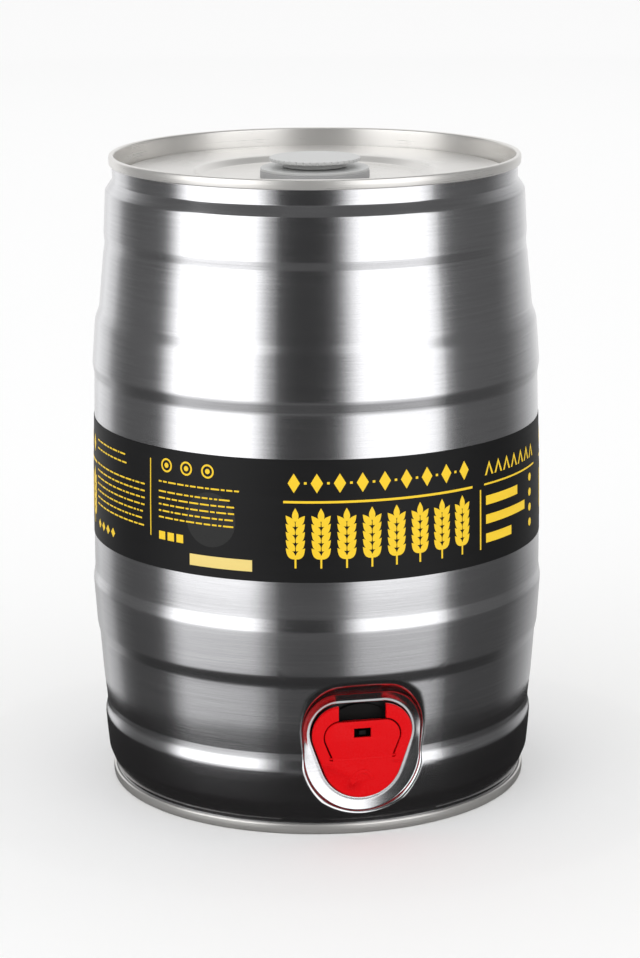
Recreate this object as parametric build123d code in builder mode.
"""Five litre mini keg with a built-in pull-out tap and a vented top bung.

Millimetres. The origin is the centre of the foot ring, +Z runs up the keg's
axis, and the tap faces -Y. Depths around the tap are distances from the keg's
axis: tap_plane(q) is the plane square to -Y at the distance q.
"""

import math
import os

from build123d import *

os.makedirs("parts", exist_ok=True)

# ------------------------------------------------------------- sheet and seams
keg_height = 251.0  # foot ring to top rim
body_sheet = 0.36  # tinplate of the body
end_sheet = 0.38  # tinplate of the two ends
fold_gap = 0.05  # between the folded layers of a seam
seam_height = 3.9
hook_room = 0.6  # left in the fold beyond the end of each hook
hook_bend = 0.4
rim_bend = 0.45  # at the two corners of the folded rim
compound_radius = 0.2  # bead of sealing compound in each fold

# ------------------------------------------------------ outer line of the body
# radii, from the belly downwards and then upwards
belly_radius = 88.95
lower_hoop_rise = 0.7  # the hoop's top edge stands out from the belly
lower_hoop_taper = 1.3
lower_hoop_step = 0.95
lower_cone_taper = 1.4
foot_ring_taper = 0.25
foot_shoulder_taper = 0.85
foot_seam_inset = 1.7  # shoulder to the outside of the seam
belly_bulge_drop = 0.05
belly_taper = 1.4
upper_hoop_rise = 0.7
upper_hoop_taper = 1.35
upper_hoop_step = 1.7
upper_cone_taper = 2.25
top_shoulder_taper = 1.05
top_seam_inset = 1.5
# heights above the foot
foot_neck_height = 5.4
foot_shoulder_height = 12.5
foot_ring_height = 21.0
lower_groove_height = 31.6
lower_hoop_foot = 61.6
lower_hoop_top = 87.2
belly_bulge_height = 112.0
# depths below the rim
upper_hoop_foot_drop = 81.4
upper_hoop_top_drop = 59.8
upper_groove_drop = 34.0
top_shoulder_drop = 15.4
top_neck_drop = 6.8
# rolled shapes
top_neck_groove = 0.5  # the neck lies this far inside the seam's body wall
groove_depth = 0.8
groove_land = 2.0  # half the flat bottom of a groove
groove_run = 2.6  # height of each of its flanks
hoop_run = 4.4  # height over which a hoop steps in or out
crease_radius = 1.6  # bend radius where the sheet steps
soft_crease_radius = 6.0
belly_curve_clearance = 8.4  # straight wall between the lower hoop and the belly's curve

# -------------------------------------------------------------------- the ends
top_countersink_depth = 9.6  # rim down to the bottom of the countersink
foot_countersink_depth = 8.2
countersink_width = 3.2
countersink_bend = 0.9
chuck_lean_width = 0.7  # the countersink's wall leans in by this much
panel_rise_height = 2.4  # countersink up to the outer panel
panel_recess_depth = 2.8  # the middle panel lies this much lower again
panel_step_radius = 44.0
panel_step_run = 1.8
panel_bend = 1.2
bung_hole_radius = 19.0

# ------------------------------------------------------------------- the label
label_rise = 14.3  # lower hoop to the label's lower edge
label_height = 46.8
label_thickness = 0.16
label_glue = 0.03  # layer of glue under the label
label_opening = 8.0  # degrees left free at the side seam, at the back
side_bead_angle = 1.0  # degrees
side_bead_height = 0.22

# ------------------------------------------------------------- the vented bung
bung_flange_radius = 21.4
bung_flange_thickness = 2.8
bung_flange_edge = 0.6
bung_lower_radius = 20.2
bung_lower_thickness = 1.9
bung_hole_fit = 0.05
bung_bore_radius = 10.6
vent_ring_radius = 21.2
vent_ring_thickness = 1.0
vent_ring_edge = 0.35
vent_sleeve_fit = 0.05
vent_sleeve_depth = 9.0
vent_bore_radius = 7.4
vent_floor_thickness = 1.6
vent_port_radius = 0.9
vent_port_circle = 5.0
vent_port_count = 4
vent_gap = 0.35  # ring to the knob that turns on it
knob_neck_radius = 12.3
knob_neck_height = 2.2
knob_cap_radius = 17.8
knob_cap_thickness = 1.3
knob_cap_edge = 0.4
knob_notch_radius = 0.5
knob_notch_depth = 0.35
knob_notch_count = 40
knob_spigot_gap = 0.4
knob_spigot_depth = 4.6
stem_radius = 2.6
stem_fit = 0.1
stem_head_radius = 4.4
stem_head_thickness = 1.0
stem_gap = 0.3
stem_foot_radius = 7.0
stem_foot_thickness = 2.6
vent_seal_section = 1.5
vent_seal_circle = 5.6  # clear of the ports' inner edges
vent_seal_seat = 0.9  # how deep the seal sits in the stem's foot

# ------------------------------------------------------- the recess in the body
tap_height = 33.6  # axis of the tap above the foot
plate_inset = 3.35  # foot ring's outside to the face of the handle plate
lip_setback = 2.35  # face of the plate to the lip of the well
lip_reach = 1.6  # handle plate to the outside of the lip
lip_tilt = 1.6  # degrees that the lip leans back at its top
dish_setback = 1.5  # face of the plate to the edge of the dish around the lip
well_setback = 8.9  # face of the plate to the floor of the well
mouth_reach = 5.6  # face of the plate out to where the mouth's outline is given
dish_foot_y = -0.6
dish_foot_radius = 22.3
dish_corner_x = 9.5
dish_corner_y = 8.4
dish_corner_radius = 13.5
mouth_foot_y = -1.6
mouth_foot_radius = 23.6
mouth_corner_x = 10.7
mouth_corner_y = 14.6
mouth_corner_radius = 12.8
well_gap = 0.3  # handle plate to well, all round
barrel_hole_gap = 0.2

# -------------------------------------------------------- handle plate and flap
plate_thickness = 1.4
plate_corner_radius = 11.2
plate_corner_x = 8.3
plate_corner_y = 6.1
plate_foot_radius = 15.6
plate_foot_y = -4.0
plate_edge = 0.8
finger_gap_width = 18.4
slot_width = 0.7
slot_end_radius = 0.8
flap_hinge_y = -3.4
flap_foot_width = 23.0
flap_top_width = 35.0
flap_height = 14.4
flap_corner_radius = 5.8
flap_foot_gap = 0.12
flap_pin_radius = 0.45
flap_pin_length = 1.9
flap_pin_fit = 0.07
flap_boss_radius = 1.35
flap_boss_depth = 0.8
flap_lip_depth = 0.8
flap_lip_height = 1.5
flap_lip_width = 15.0
window_width = 6.6
window_height = 3.6
window_y = 6.4
mark_height = 0.2  # raised arrow and hinge marks
mark_width = 0.6
mark_length = 4.2
mark_drop = 2.3
arrow_y = -12.6
arrow_radius = 3.6
arrow_width = 1.5
arrow_sweep = 150.0  # degrees
arrow_head_width = 3.6
arrow_head_length = 2.9

# ----------------------------------------------------- barrel, spout and valve
gasket_thickness = 1.0
flange_thickness = 1.4
flange_gap = 0.35  # housing flange to the wall of the well
drive_gap = 0.3  # housing flange to the turning disc
drive_disc_radius = 16.5
drive_disc_thickness = 1.4
drive_wall = 2.6  # wall that carries the plate on the disc
drive_peg_radius = 1.3
drive_peg_fit = 0.05
drive_peg_count = 3
drive_peg_spread = 100.0  # degrees that the pegs take up, about the plate's foot
latch_width = 2.6
latch_height = 1.5
latch_setback = 0.5
tube_length = 61.9
tube_radius = 9.0
tube_bore_radius = 6.7
tube_fit = 0.1
barrel_wall = 2.2
barrel_room = 6.0  # behind the tube
barrel_rear_wall = 1.8
barrel_nose_radius = 13.2
barrel_nose_length = 14.5
inlet_radius = 2.5
inlet_circle = 5.2
inlet_count = 4
barb_height = 1.1
barb_length = 2.2
barb_slope = 20.0  # degrees
barb_gap = 0.1
guide_ring_radius = 12.0
guide_ring_thickness = 3.2
guide_lug_width = 2.2
guide_lug_height = 1.0
guide_gap = 0.2
pull_travel = 32.0
pull_end_gap = 0.3
nozzle_setback = 7.6  # nozzle axis behind the tube's front end
nozzle_bore_radius = 4.0
nozzle_wall = 1.2
nozzle_drop = 2.2
nozzle_gap = 0.3
tube_seal_section = 1.5
core_seal_section = 1.3
seal_gap = 0.05  # squeezed seal to the bore or face that it seals
seal_groove_gap = 0.3
front_seal_place = 12.5  # from the rear end of the tube
rear_seal_place = 6.0
seat_thickness = 2.8
port_radius = 2.4
port_offset = 3.6
core_gap = 0.3
core_shaft_radius = 3.0
core_rear_thickness = 2.6
core_plug_length = 3.4
core_fit = 0.08
core_seal_place = 1.7  # behind the front end of the tube

# ================================================================ keg profiles
lower_hoop_radius = belly_radius + lower_hoop_rise  # greatest radius of the keg
lower_hoop_small_radius = lower_hoop_radius - lower_hoop_taper
lower_cone_radius = lower_hoop_small_radius - lower_hoop_step
lower_ring_radius = lower_cone_radius - lower_cone_taper
foot_ring_radius = lower_ring_radius - foot_ring_taper
foot_shoulder_radius = foot_ring_radius - foot_shoulder_taper
foot_seam_radius = foot_shoulder_radius - foot_seam_inset
belly_small_radius = belly_radius - belly_taper
upper_hoop_radius = belly_small_radius + upper_hoop_rise
upper_hoop_small_radius = upper_hoop_radius - upper_hoop_taper
upper_cone_radius = upper_hoop_small_radius - upper_hoop_step
upper_ring_radius = upper_cone_radius - upper_cone_taper
top_shoulder_radius = upper_ring_radius - top_shoulder_taper
top_seam_radius = top_shoulder_radius - top_seam_inset
upper_hoop_foot = keg_height - upper_hoop_foot_drop
upper_hoop_top = keg_height - upper_hoop_top_drop
top_shoulder_height = keg_height - top_shoulder_drop
lower_lean = math.atan2(belly_bulge_drop, belly_bulge_height - lower_hoop_top)
upper_run = upper_hoop_foot - hoop_run - belly_bulge_height
upper_lean = math.atan2(belly_taper - belly_bulge_drop, upper_run)
belly_curve_reach = belly_bulge_height - lower_hoop_top - belly_curve_clearance
belly_curve_radius = belly_curve_reach / math.tan((upper_lean - lower_lean) / 2)
inner_radius = top_seam_radius / 2  # inside every wall of the body
hook_height = end_sheet + fold_gap + body_sheet / 2  # rim to the bend of the body's hook
hook_end = seam_height - end_sheet - hook_room  # rim to the end of the body's hook


def wall_line(seam_radius):
    """Radius of the body sheet's middle line inside a seam."""
    return seam_radius - 2 * end_sheet - 1.5 * body_sheet - 3 * fold_gap


def hook_line(seam_radius):
    """Radius of the middle line of the body's folded hook."""
    return seam_radius - end_sheet - fold_gap - body_sheet / 2


def groove_points(height, radius):
    """Middle line of a groove rolled into the body, from below upwards."""
    floor = radius - groove_depth
    return [
        (radius, height - groove_land - groove_run, crease_radius),
        (floor, height - groove_land, crease_radius),
        (floor, height + groove_land, crease_radius),
        (radius, height + groove_land + groove_run, crease_radius),
    ]


def middle_line(points):
    """Move points given on the outside of the body to the sheet's middle."""
    return [(r - body_sheet / 2, z, bend) for r, z, bend in points]


foot_wall = wall_line(foot_seam_radius)
top_wall = wall_line(top_seam_radius)

foot_hook_points = [
    (hook_line(foot_seam_radius), hook_end, 0.0),
    (hook_line(foot_seam_radius), hook_height, hook_bend),
    (foot_wall, hook_height, hook_bend),
]
foot_points = [
    (foot_wall + body_sheet / 2, foot_neck_height, crease_radius),
    (foot_shoulder_radius, foot_shoulder_height, soft_crease_radius),
    (foot_ring_radius, foot_ring_height, soft_crease_radius),
]
lower_hoop_points = [
    (lower_cone_radius, lower_hoop_foot - hoop_run, crease_radius),
    (lower_hoop_small_radius, lower_hoop_foot, crease_radius),
    (lower_hoop_radius, lower_hoop_top - hoop_run, crease_radius),
    (belly_radius, lower_hoop_top, crease_radius),
]
belly_points = [
    (belly_radius - belly_bulge_drop, belly_bulge_height, belly_curve_radius),
    (belly_small_radius, upper_hoop_foot - hoop_run, crease_radius),
]
upper_hoop_points = [
    (upper_hoop_radius, upper_hoop_foot, crease_radius),
    (upper_hoop_small_radius, upper_hoop_top - hoop_run, crease_radius),
    (upper_cone_radius, upper_hoop_top, crease_radius),
]
top_points = [
    (top_shoulder_radius, top_shoulder_height, soft_crease_radius),
    (top_wall + body_sheet / 2 - top_neck_groove, keg_height - top_neck_drop, crease_radius),
]
top_hook_points = [
    (top_wall, keg_height - seam_height, crease_radius),
    (top_wall, keg_height - hook_height, hook_bend),
    (hook_line(top_seam_radius), keg_height - hook_height, hook_bend),
    (hook_line(top_seam_radius), keg_height - hook_end, 0.0),
]
skin_points = middle_line(
    foot_points
    + groove_points(lower_groove_height, lower_ring_radius)
    + lower_hoop_points
    + belly_points
    + upper_hoop_points
    + groove_points(keg_height - upper_groove_drop, upper_ring_radius)
    + top_points
)
body_points = foot_hook_points + skin_points + top_hook_points
label_points = middle_line(lower_hoop_points[-1:] + belly_points)


def bent_line(points):
    """Straight runs through the points, each corner bent to its own radius."""
    places = [(r, z) for r, z, bend in points]
    bends = [bend for r, z, bend in points[1:-1]]
    return FilletPolyline(*places, radius=bends)


def sheet_strip(points, thickness, mode=Mode.ADD):
    """Face of a bent sheet around its middle line."""
    with BuildLine() as edge:
        bent_line(points)
        offset(amount=thickness / 2, side=Side.BOTH)
    make_face(edge.edges(), mode=mode)


def filled_skin(points, thickness, mode=Mode.ADD):
    """Face from inside the keg out to the outside of a sheet on the line."""
    with BuildLine() as edge:
        middle = bent_line(points)
        top = (inner_radius, points[-1][1])
        foot = (inner_radius, points[0][1])
        Polyline(middle @ 1, top, foot, middle @ 0)
    make_face(edge.edges(), mode=mode)
    sheet_strip(points, thickness, mode=mode)


# ============================================================ planes of the tap
plate_face = foot_ring_radius - plate_inset
lip_depth = plate_face - lip_setback
dish_depth = plate_face - dish_setback
well_depth = plate_face - well_setback
tap_axis = Axis((0, 0, tap_height), (0, 1, 0))


def tap_plane(q):
    """Plane square to the tap's axis, q from the keg's axis."""
    return Plane(origin=(0, -q, tap_height), x_dir=(1, 0, 0), z_dir=(0, -1, 0))


def rounded_triangle(foot_y, foot_radius, corner_x, corner_y, corner_radius):
    """Hull of a foot circle and two corner circles."""
    with Locations((0, foot_y)):
        Circle(foot_radius)
    with Locations((-corner_x, corner_y), (corner_x, corner_y)):
        Circle(corner_radius)
    make_hull(mode=Mode.REPLACE)


def plate_outline(grow=0.0):
    """Outline of the handle plate, grown all round."""
    foot = plate_foot_radius + grow
    corner = plate_corner_radius + grow
    rounded_triangle(plate_foot_y, foot, plate_corner_x, plate_corner_y, corner)


def recess_form(grow):
    """Dish and well pressed into the body, grown by the sheet for its back."""
    with BuildPart() as form:
        with BuildSketch(tap_plane(lip_depth - grow).rotated((-lip_tilt, 0, 0))):
            plate_outline(lip_reach + grow)
        with BuildSketch(tap_plane(dish_depth - grow)):
            foot = dish_foot_radius + grow
            corner = dish_corner_radius + grow
            rounded_triangle(dish_foot_y, foot, dish_corner_x, dish_corner_y, corner)
        with BuildSketch(tap_plane(plate_face + mouth_reach)):
            foot = mouth_foot_radius + grow
            corner = mouth_corner_radius + grow
            rounded_triangle(mouth_foot_y, foot, mouth_corner_x, mouth_corner_y, corner)
        loft(ruled=True)
        with BuildSketch(tap_plane(well_depth - grow)):
            plate_outline(well_gap + grow)
        extrude(amount=dish_depth - well_depth - grow)
    return form.part


# ================================================================== body shell
recess_air = recess_form(0.0)
recess_back = recess_form(body_sheet)

with BuildPart() as recess_cup:
    with BuildSketch(Plane.XZ):
        filled_skin(skin_points, body_sheet)
    revolve(axis=Axis.Z)
    add(recess_back, mode=Mode.INTERSECT)
    add(recess_air, mode=Mode.SUBTRACT)
    with BuildSketch(tap_plane(well_depth - 2 * body_sheet)):
        Circle(barrel_nose_radius + barrel_hole_gap)
    extrude(amount=4 * body_sheet, mode=Mode.SUBTRACT)

with BuildPart() as body_shell:
    with BuildSketch(Plane.XZ):
        sheet_strip(body_points, body_sheet)
    revolve(axis=Axis.Z)
    add(recess_back, mode=Mode.SUBTRACT)
    add(recess_cup.part)

body_shell.part.label = "body_shell"
export_step(body_shell.part, "parts/body_shell.step")


# ===================================================================== the ends
def end_points(seam_radius, countersink, middle_radius):
    """Middle line of an end, from its hook to its middle, rim at height 0."""
    outer = seam_radius - end_sheet / 2
    cover = outer - end_sheet - 2 * fold_gap - body_sheet
    chuck = cover - end_sheet - 2 * fold_gap - body_sheet
    fold_foot = end_sheet / 2 - seam_height
    rim = -end_sheet / 2
    sink = end_sheet / 2 - countersink
    sink_outer = chuck - chuck_lean_width
    sink_inner = sink_outer - countersink_width
    panel = sink + panel_rise_height
    middle_panel = panel - panel_recess_depth
    return [
        (cover, -hook_height - body_sheet / 2 - hook_room, 0.0),
        (cover, fold_foot, hook_bend),
        (outer, fold_foot, hook_bend),
        (outer, rim, rim_bend),
        (chuck, rim, rim_bend),
        (sink_outer, sink, countersink_bend),
        (sink_inner, sink, countersink_bend),
        (sink_inner, panel, countersink_bend),
        (panel_step_radius + panel_step_run, panel, panel_bend),
        (panel_step_radius, middle_panel, panel_bend),
        (middle_radius, middle_panel, 0.0),
    ]


top_end_points = [
    (r, keg_height + z, bend)
    for r, z, bend in end_points(top_seam_radius, top_countersink_depth, bung_hole_radius)
]
bottom_end_points = [
    (r, -z, bend) for r, z, bend in end_points(foot_seam_radius, foot_countersink_depth, 0.0)
]
panel_top = top_end_points[-1][1] + end_sheet / 2
panel_under = panel_top - end_sheet

with BuildPart() as top_end:
    with BuildSketch(Plane.XZ):
        sheet_strip(top_end_points, end_sheet)
    revolve(axis=Axis.Z)
    with BuildSketch(Plane.XY.offset(panel_under - end_sheet)):
        Circle(bung_hole_radius)
    extrude(amount=3 * end_sheet, mode=Mode.SUBTRACT)

with BuildPart() as bottom_end:
    with BuildSketch(Plane.XZ):
        sheet_strip(bottom_end_points, end_sheet)
        with Locations((-end_sheet / 2, bottom_end_points[-1][1])):
            Rectangle(end_sheet, 2 * end_sheet, mode=Mode.SUBTRACT)
    revolve(axis=Axis.Z)

# sealing compound in each fold, between the end of the body's hook and the end
compound_depth = seam_height - end_sheet - compound_radius

with BuildPart() as top_seam_compound:
    with BuildSketch(Plane.XZ):
        with Locations((hook_line(top_seam_radius), keg_height - compound_depth)):
            Circle(compound_radius)
    revolve(axis=Axis.Z)

with BuildPart() as bottom_seam_compound:
    with BuildSketch(Plane.XZ):
        with Locations((hook_line(foot_seam_radius), compound_depth)):
            Circle(compound_radius)
    revolve(axis=Axis.Z)

top_end.part.label = "top_end"
export_step(top_end.part, "parts/top_end.step")
bottom_end.part.label = "bottom_end"
export_step(bottom_end.part, "parts/bottom_end.step")
top_seam_compound.part.label = "top_seam_compound"
export_step(top_seam_compound.part, "parts/top_seam_compound.step")
bottom_seam_compound.part.label = "bottom_seam_compound"
export_step(bottom_seam_compound.part, "parts/bottom_seam_compound.step")

# ======================================================== label and side seam
label_middle = lower_hoop_top + label_rise + label_height / 2
label_plane = Plane.XZ.rotated((0, 0, 90 + label_opening / 2))

with BuildPart() as label_band:
    with BuildSketch(label_plane):
        filled_skin(label_points, body_sheet + 2 * (label_glue + label_thickness))
        filled_skin(label_points, body_sheet + 2 * label_glue, mode=Mode.SUBTRACT)
        with Locations((belly_radius, label_middle)):
            Rectangle(belly_radius / 2, label_height, mode=Mode.INTERSECT)
    revolve(axis=Axis.Z, revolution_arc=360 - label_opening)

bead_foot = foot_shoulder_height
bead_length = top_shoulder_height - bead_foot
bead_plane = Plane.XZ.rotated((0, 0, 90 - side_bead_angle / 2))

with BuildPart() as side_seam_bead:
    with BuildSketch(bead_plane):
        filled_skin(skin_points, body_sheet + 2 * side_bead_height)
        filled_skin(skin_points, body_sheet, mode=Mode.SUBTRACT)
        with Locations((belly_radius, bead_foot + bead_length / 2)):
            Rectangle(belly_radius, bead_length, mode=Mode.INTERSECT)
    revolve(axis=Axis.Z, revolution_arc=side_bead_angle)

label_band.part.label = "label_band"
export_step(label_band.part, "parts/label_band.step")
side_seam_bead.part.label = "side_seam_bead"
export_step(side_seam_bead.part, "parts/side_seam_bead.step")

# ============================================================= vented bung
flange_top = panel_top + bung_flange_thickness
ring_top = flange_top + vent_ring_thickness
sleeve_radius = bung_bore_radius - vent_sleeve_fit
sleeve_foot = flange_top - vent_sleeve_depth
floor_top = sleeve_foot + vent_floor_thickness
bung_foot = panel_under - bung_lower_thickness
bung_neck_radius = bung_hole_radius - bung_hole_fit
knob_foot = ring_top + vent_gap
cap_foot = knob_foot + knob_neck_height
spigot_foot = knob_foot - knob_spigot_depth
head_top = spigot_foot - stem_gap
vent_seal_height = sleeve_foot - seal_gap - vent_seal_section / 2
stem_foot_top = vent_seal_height - vent_seal_section / 2 + vent_seal_seat
stem_foot = stem_foot_top - stem_foot_thickness
notch_circle = knob_cap_radius + knob_notch_radius - knob_notch_depth

with BuildPart() as bung_grommet:
    with BuildSketch(Plane.XZ):
        with BuildLine():
            Polyline(
                (bung_bore_radius, bung_foot),
                (bung_lower_radius, bung_foot),
                (bung_lower_radius, panel_under),
                (bung_neck_radius, panel_under),
                (bung_neck_radius, panel_top),
                (bung_flange_radius, panel_top),
                (bung_flange_radius, flange_top),
                (bung_bore_radius, flange_top),
                close=True,
            )
        make_face()
    revolve(axis=Axis.Z)
    grommet_rings = bung_grommet.edges().filter_by(GeomType.CIRCLE).group_by(Axis.Z)[-1]
    fillet(grommet_rings.sort_by(SortBy.RADIUS)[-1], radius=bung_flange_edge)

with BuildPart() as vent_ring:
    with BuildSketch(Plane.XZ):
        with BuildLine():
            Polyline(
                (0, sleeve_foot),
                (sleeve_radius, sleeve_foot),
                (sleeve_radius, flange_top),
                (vent_ring_radius, flange_top),
                (vent_ring_radius, ring_top),
                (vent_bore_radius, ring_top),
                (vent_bore_radius, floor_top),
                (0, floor_top),
                close=True,
            )
        make_face()
    revolve(axis=Axis.Z)
    with BuildSketch(Plane.XY.offset(sleeve_foot)):
        Circle(stem_radius + stem_fit)
        with PolarLocations(vent_port_circle, vent_port_count):
            Circle(vent_port_radius)
    extrude(amount=vent_floor_thickness, mode=Mode.SUBTRACT)
    ring_edges = vent_ring.edges().filter_by(GeomType.CIRCLE).group_by(Axis.Z)[-1]
    fillet(ring_edges, radius=vent_ring_edge)

with BuildPart() as vent_knob:
    with BuildSketch(Plane.XY.offset(knob_foot)):
        Circle(knob_neck_radius)
    extrude(amount=knob_neck_height)
    with BuildSketch(Plane.XY.offset(cap_foot)):
        Circle(knob_cap_radius)
    extrude(amount=knob_cap_thickness)
    cap_edges = vent_knob.edges().filter_by(GeomType.CIRCLE).sort_by(SortBy.RADIUS)[-2:]
    fillet(cap_edges, radius=knob_cap_edge)
    with BuildSketch(Plane.XY.offset(cap_foot)):
        with PolarLocations(notch_circle, knob_notch_count):
            Circle(knob_notch_radius)
    extrude(amount=knob_cap_thickness, mode=Mode.SUBTRACT)
    with BuildSketch(Plane.XY.offset(spigot_foot)):
        Circle(vent_bore_radius - knob_spigot_gap)
    extrude(amount=knob_spigot_depth)
    with BuildSketch(Plane.XY.offset(spigot_foot)):
        Circle(stem_radius + stem_fit)
    extrude(amount=knob_spigot_depth, mode=Mode.SUBTRACT)

with BuildPart() as vent_stem:
    with BuildSketch(Plane.XY.offset(stem_foot)):
        Circle(stem_foot_radius)
    extrude(amount=stem_foot_thickness)
    with BuildSketch(Plane.XY.offset(stem_foot)):
        Circle(stem_radius)
    extrude(amount=head_top - stem_foot)
    with BuildSketch(Plane.XY.offset(head_top - stem_head_thickness)):
        Circle(stem_head_radius)
    extrude(amount=stem_head_thickness)
    with BuildSketch(Plane.XZ):
        with Locations((vent_seal_circle, vent_seal_height)):
            Circle(vent_seal_section / 2)
    revolve(axis=Axis.Z, mode=Mode.SUBTRACT)

with BuildPart() as vent_seal:
    with BuildSketch(Plane.XZ):
        with Locations((vent_seal_circle, vent_seal_height)):
            Circle(vent_seal_section / 2)
    revolve(axis=Axis.Z)

bung_grommet.part.label = "bung_grommet"
export_step(bung_grommet.part, "parts/bung_grommet.step")
vent_ring.part.label = "vent_ring"
export_step(vent_ring.part, "parts/vent_ring.step")
vent_knob.part.label = "vent_knob"
export_step(vent_knob.part, "parts/vent_knob.step")
vent_stem.part.label = "vent_stem"
export_step(vent_stem.part, "parts/vent_stem.step")
vent_seal.part.label = "vent_seal"
export_step(vent_seal.part, "parts/vent_seal.step")

# ============================================================ tap: fixed pieces
flange_foot = well_depth + gasket_thickness
flange_face = flange_foot + flange_thickness
bore_radius = tube_radius + tube_fit
barrel_radius = bore_radius + barrel_wall
tube_rear = flange_face - tube_length
barrel_rear = tube_rear - barrel_room
nozzle_radius = nozzle_bore_radius + nozzle_wall
nozzle_depth = flange_face - nozzle_setback
channel_width = 2 * (nozzle_radius + nozzle_gap)
channel_drop = tube_radius + nozzle_drop + nozzle_gap
channel_rear = nozzle_depth - nozzle_radius - nozzle_gap
barb_front = well_depth - body_sheet - barb_gap
lug_reach = bore_radius - guide_lug_height
lug_span = guide_lug_height + (guide_ring_radius - bore_radius) / 2
lug_middle = lug_reach + lug_span / 2

with BuildPart() as tap_gasket:
    with BuildSketch(tap_plane(well_depth)):
        plate_outline(well_gap - flange_gap)
        Circle(barrel_nose_radius, mode=Mode.SUBTRACT)
    extrude(amount=gasket_thickness)

with BuildPart() as tap_housing:
    with BuildSketch(tap_plane(flange_foot)):
        plate_outline(well_gap - flange_gap)
    extrude(amount=flange_thickness)
    with BuildSketch(tap_plane(flange_face)):
        Circle(barrel_nose_radius)
    extrude(amount=-barrel_nose_length)
    with BuildSketch(tap_plane(flange_face)):
        Circle(barrel_radius)
    extrude(amount=barrel_rear - flange_face)
    with BuildSketch(tap_plane(barb_front)):
        Circle(barrel_nose_radius + barb_height)
    extrude(amount=-barb_length, taper=barb_slope)
    with BuildSketch(tap_plane(flange_face)):
        Circle(bore_radius)
    extrude(amount=barrel_rear + barrel_rear_wall - flange_face, mode=Mode.SUBTRACT)
    with BuildSketch(tap_plane(flange_face)):
        Circle(guide_ring_radius)
    extrude(amount=-guide_ring_thickness, mode=Mode.SUBTRACT)
    with BuildSketch(tap_plane(flange_face)):
        with Locations((0, -channel_drop / 2)):
            Rectangle(channel_width, channel_drop)
    extrude(amount=channel_rear - flange_face, mode=Mode.SUBTRACT)
    with BuildSketch(tap_plane(barrel_rear)):
        with PolarLocations(inlet_circle, inlet_count):
            Circle(inlet_radius)
    extrude(amount=barrel_rear_wall, mode=Mode.SUBTRACT)

with BuildPart() as guide_ring:
    with BuildSketch(tap_plane(flange_face)):
        Circle(guide_ring_radius)
        Circle(bore_radius, mode=Mode.SUBTRACT)
        with Locations((0, -guide_ring_radius / 2)):
            Rectangle(channel_width, guide_ring_radius, mode=Mode.SUBTRACT)
        with Locations((-lug_middle, 0), (lug_middle, 0)):
            Rectangle(lug_span, guide_lug_width)
    extrude(amount=-guide_ring_thickness)

tap_gasket.part.label = "tap_gasket"
export_step(tap_gasket.part, "parts/tap_gasket.step")
tap_housing.part.label = "tap_housing"
export_step(tap_housing.part, "parts/tap_housing.step")
guide_ring.part.label = "guide_ring"
export_step(guide_ring.part, "parts/guide_ring.step")

# ========================================================= tap: sliding pieces
tube_seal_line = bore_radius - seal_gap - tube_seal_section / 2
rear_seal_depth = tube_rear + rear_seal_place
front_seal_depth = tube_rear + front_seal_place
guide_slot_rear = flange_face - guide_ring_thickness - pull_travel - pull_end_gap
guide_slot_span = tube_radius - lug_reach + guide_gap
guide_slot_middle = lug_reach - guide_gap + guide_slot_span / 2
spout_drop = tube_radius + nozzle_drop


def seal_ring(q, line_radius, section):
    """Ring of round section about the tap's axis."""
    with BuildSketch(Plane.YZ) as round_section:
        with Locations((-q, tap_height + line_radius)):
            Circle(section / 2)
    revolve(round_section.sketch, axis=tap_axis)


def cut_seal_groove(q, line_radius, section, outer_radius):
    """Cut the square groove that such a ring lies in."""
    with BuildSketch(tap_plane(q - section / 2 - seal_groove_gap)) as ring:
        Circle(outer_radius)
        Circle(line_radius - section / 2, mode=Mode.SUBTRACT)
    extrude(ring.sketch, amount=section + 2 * seal_groove_gap, mode=Mode.SUBTRACT)


with BuildPart() as spout_tube:
    with BuildSketch(tap_plane(tube_rear)):
        Circle(tube_radius)
    extrude(amount=tube_length)
    with BuildSketch(Plane.XY.offset(tap_height)):
        with Locations((0, -nozzle_depth)):
            Circle(nozzle_radius)
    extrude(amount=-spout_drop)
    with BuildSketch(tap_plane(tube_rear)):
        Circle(tube_bore_radius)
    extrude(amount=tube_length, mode=Mode.SUBTRACT)
    with BuildSketch(Plane.XY.offset(tap_height)):
        with Locations((0, -nozzle_depth)):
            Circle(nozzle_bore_radius)
    extrude(amount=-spout_drop, mode=Mode.SUBTRACT)
    with BuildSketch(tap_plane(guide_slot_rear)):
        with Locations((-guide_slot_middle, 0), (guide_slot_middle, 0)):
            Rectangle(guide_slot_span, guide_lug_width + 2 * guide_gap)
    extrude(amount=flange_face - guide_slot_rear, mode=Mode.SUBTRACT)
    cut_seal_groove(rear_seal_depth, tube_seal_line, tube_seal_section, bore_radius)
    cut_seal_groove(front_seal_depth, tube_seal_line, tube_seal_section, bore_radius)

with BuildPart() as valve_seat:
    with BuildSketch(tap_plane(tube_rear)):
        Circle(tube_bore_radius)
        with Locations((0, port_offset)):
            Circle(port_radius, mode=Mode.SUBTRACT)
    extrude(amount=seat_thickness)

with BuildPart() as rear_tube_seal:
    seal_ring(rear_seal_depth, tube_seal_line, tube_seal_section)

with BuildPart() as front_tube_seal:
    seal_ring(front_seal_depth, tube_seal_line, tube_seal_section)

spout_tube.part.label = "spout_tube"
export_step(spout_tube.part, "parts/spout_tube.step")
valve_seat.part.label = "valve_seat"
export_step(valve_seat.part, "parts/valve_seat.step")
rear_tube_seal.part.label = "rear_tube_seal"
export_step(rear_tube_seal.part, "parts/rear_tube_seal.step")
front_tube_seal.part.label = "front_tube_seal"
export_step(front_tube_seal.part, "parts/front_tube_seal.step")

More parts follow.
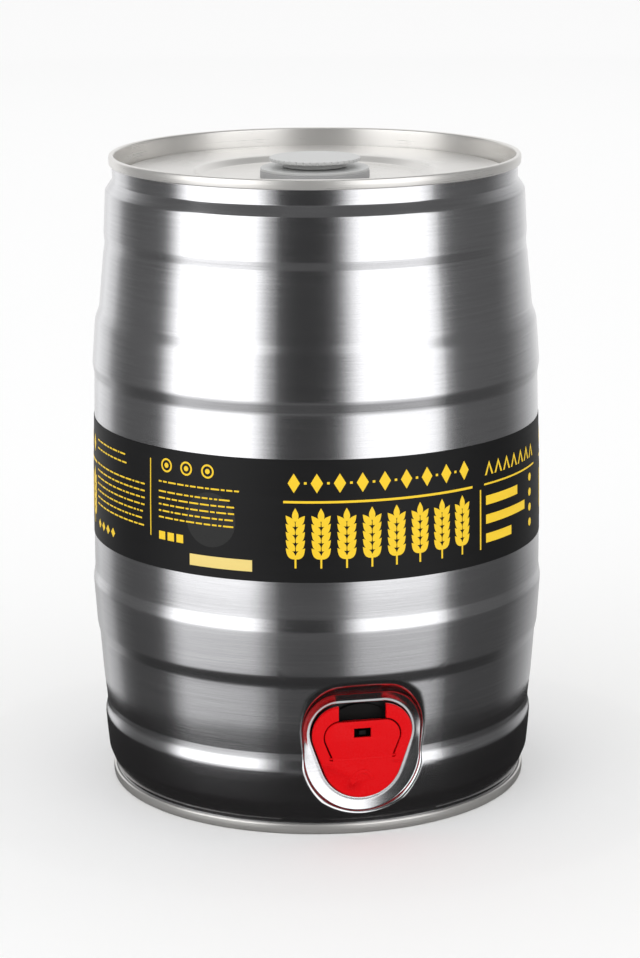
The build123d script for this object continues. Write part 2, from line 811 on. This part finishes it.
# ========================================================= tap: turning pieces
disc_back = flange_face + drive_gap
disc_face = disc_back + drive_disc_thickness
plate_back = plate_face - plate_thickness
core_rear = tube_rear + seat_thickness + core_gap
core_radius = tube_bore_radius - core_fit
core_seal_line = tube_bore_radius - seal_gap - core_seal_section / 2
core_seal_depth = flange_face - core_seal_place
shaft_rear = core_rear + core_rear_thickness / 2  # inside the rear disc of the core
hinge_depth = plate_face - plate_thickness / 2
hinge_place = (-hinge_depth, tap_height + flap_hinge_y)
flap_round = plate_thickness / 2
pin_span = flap_foot_width / 2 + flap_pin_length
peg_circle = drive_disc_radius - drive_wall / 2
first_peg = 270 - drive_peg_spread / 2
wall_top = flap_hinge_y - flap_round - flap_foot_gap - slot_width
gap_foot = flap_hinge_y + flap_height
gap_top = plate_corner_y + plate_corner_radius + plate_thickness
mark_x = flap_foot_width / 2 + mark_length / 2

with BuildPart() as valve_core:
    with BuildSketch(tap_plane(core_rear)):
        Circle(core_radius)
    extrude(amount=core_rear_thickness)
    with BuildSketch(tap_plane(shaft_rear)):
        Circle(core_shaft_radius)
    extrude(amount=flange_face - shaft_rear)
    with BuildSketch(tap_plane(core_rear)):
        with Locations((port_offset, 0)):
            Circle(port_radius)
    extrude(amount=flange_face - core_rear, mode=Mode.SUBTRACT)
    with BuildSketch(tap_plane(flange_face - core_plug_length)):
        Circle(core_radius)
    extrude(amount=core_plug_length + drive_gap)
    with BuildSketch(tap_plane(disc_back)):
        Circle(drive_disc_radius)
        with PolarLocations(peg_circle, drive_peg_count, first_peg, drive_peg_spread, endpoint=True):
            Circle(drive_peg_radius + drive_peg_fit, mode=Mode.SUBTRACT)
    extrude(amount=drive_disc_thickness)
    with BuildSketch(tap_plane(disc_face)):
        with Locations((0, window_y)):
            Rectangle(latch_width, latch_height)
    extrude(amount=plate_face - latch_setback - disc_face)
    cut_seal_groove(core_seal_depth, core_seal_line, core_seal_section, tube_bore_radius)

with BuildPart() as core_seal:
    seal_ring(core_seal_depth, core_seal_line, core_seal_section)


def flap_outline(grow=0.0):
    """Flap from its hinge to its top edge, grown at the sides and the top."""
    foot = flap_foot_width / 2 + grow
    top = flap_top_width / 2 + grow
    upper = flap_hinge_y + flap_height + grow
    corner = flap_corner_radius + grow
    with BuildLine() as edge:
        places = [(-foot, flap_hinge_y), (foot, flap_hinge_y), (top, upper), (-top, upper)]
        FilletPolyline(*places, radius=[0, 0, corner, corner], close=True)
    make_face(edge.edges())


def turn_arrow():
    """Curved arrow that shows which way the handle turns."""
    with BuildLine() as shaft:
        arc = CenterArc((0, arrow_y), arrow_radius, 90 - arrow_sweep / 2, arrow_sweep)
        offset(amount=arrow_width / 2, side=Side.BOTH)
    make_face(shaft.edges())
    foot = arc @ 1
    heading = arc % 1
    side = heading.rotate(Axis.Z, 90) * arrow_head_width / 2
    with BuildLine() as head:
        Polyline(foot + side, foot - side, foot + heading * arrow_head_length, close=True)
    make_face(head.edges())


with BuildPart() as handle_plate:
    with BuildSketch(tap_plane(plate_back)):
        plate_outline()
    extrude(amount=plate_thickness)
    fillet(handle_plate.faces().sort_by(Axis.Y)[0].edges(), radius=plate_edge)
    # slots round the flap, its hinge and the gap for a finger above it
    with BuildSketch(tap_plane(plate_back)):
        flap_outline(slot_width)
        slot_end = flap_foot_width / 2 + slot_width
        with Locations((-slot_end, flap_hinge_y), (slot_end, flap_hinge_y)):
            Circle(slot_end_radius)
        with Locations((0, flap_hinge_y)):
            Rectangle(flap_foot_width + slot_width, 2 * (flap_round + flap_foot_gap))
        with Locations((0, (gap_top + gap_foot) / 2)):
            Rectangle(finger_gap_width, gap_top - gap_foot)
    extrude(amount=plate_thickness, mode=Mode.SUBTRACT)
    # wall and pegs that carry the plate on the turning disc
    with BuildSketch(tap_plane(disc_face)):
        Circle(drive_disc_radius)
        Circle(drive_disc_radius - drive_wall, mode=Mode.SUBTRACT)
        with Locations((0, wall_top - drive_disc_radius)):
            Rectangle(2 * drive_disc_radius, 2 * drive_disc_radius, mode=Mode.INTERSECT)
    extrude(amount=plate_back - disc_face)
    with BuildSketch(tap_plane(disc_back)):
        with PolarLocations(peg_circle, drive_peg_count, first_peg, drive_peg_spread, endpoint=True):
            Circle(drive_peg_radius)
    extrude(amount=plate_back - disc_back)
    # bosses behind the plate for the flap's pins
    with BuildSketch(tap_plane(plate_back - flap_boss_depth)):
        with Locations((-pin_span, flap_hinge_y), (pin_span, flap_hinge_y)):
            Circle(flap_boss_radius)
    extrude(amount=flap_boss_depth)
    with BuildSketch(Plane.YZ.offset(-pin_span - flap_pin_fit)):
        with Locations(hinge_place):
            Circle(flap_pin_radius + flap_pin_fit)
    extrude(amount=2 * (pin_span + flap_pin_fit), mode=Mode.SUBTRACT)
    # raised arrow and the marks beside the flap's hinge
    with BuildSketch(tap_plane(plate_face)):
        turn_arrow()
        with Locations((-mark_x, flap_hinge_y - mark_drop), (mark_x, flap_hinge_y - mark_drop)):
            Rectangle(mark_length, mark_width)
    extrude(amount=mark_height)

with BuildPart() as pull_flap:
    with BuildSketch(tap_plane(plate_back)):
        flap_outline()
        with Locations((0, window_y)):
            Rectangle(window_width, window_height, mode=Mode.SUBTRACT)
    extrude(amount=plate_thickness)
    with BuildSketch(Plane.YZ.offset(-flap_foot_width / 2)):
        with Locations(hinge_place):
            Circle(flap_round)
    extrude(amount=flap_foot_width)
    with BuildSketch(Plane.YZ.offset(-pin_span)):
        with Locations(hinge_place):
            Circle(flap_pin_radius)
    extrude(amount=2 * pin_span)
    # lip for the finger, behind the top edge
    with BuildSketch(tap_plane(plate_back - flap_lip_depth)):
        with Locations((0, gap_foot - flap_lip_height / 2)):
            Rectangle(flap_lip_width, flap_lip_height)
    extrude(amount=flap_lip_depth)

valve_core.part.label = "valve_core"
export_step(valve_core.part, "parts/valve_core.step")
core_seal.part.label = "core_seal"
export_step(core_seal.part, "parts/core_seal.step")
handle_plate.part.label = "handle_plate"
export_step(handle_plate.part, "parts/handle_plate.step")
pull_flap.part.label = "pull_flap"
export_step(pull_flap.part, "parts/pull_flap.step")
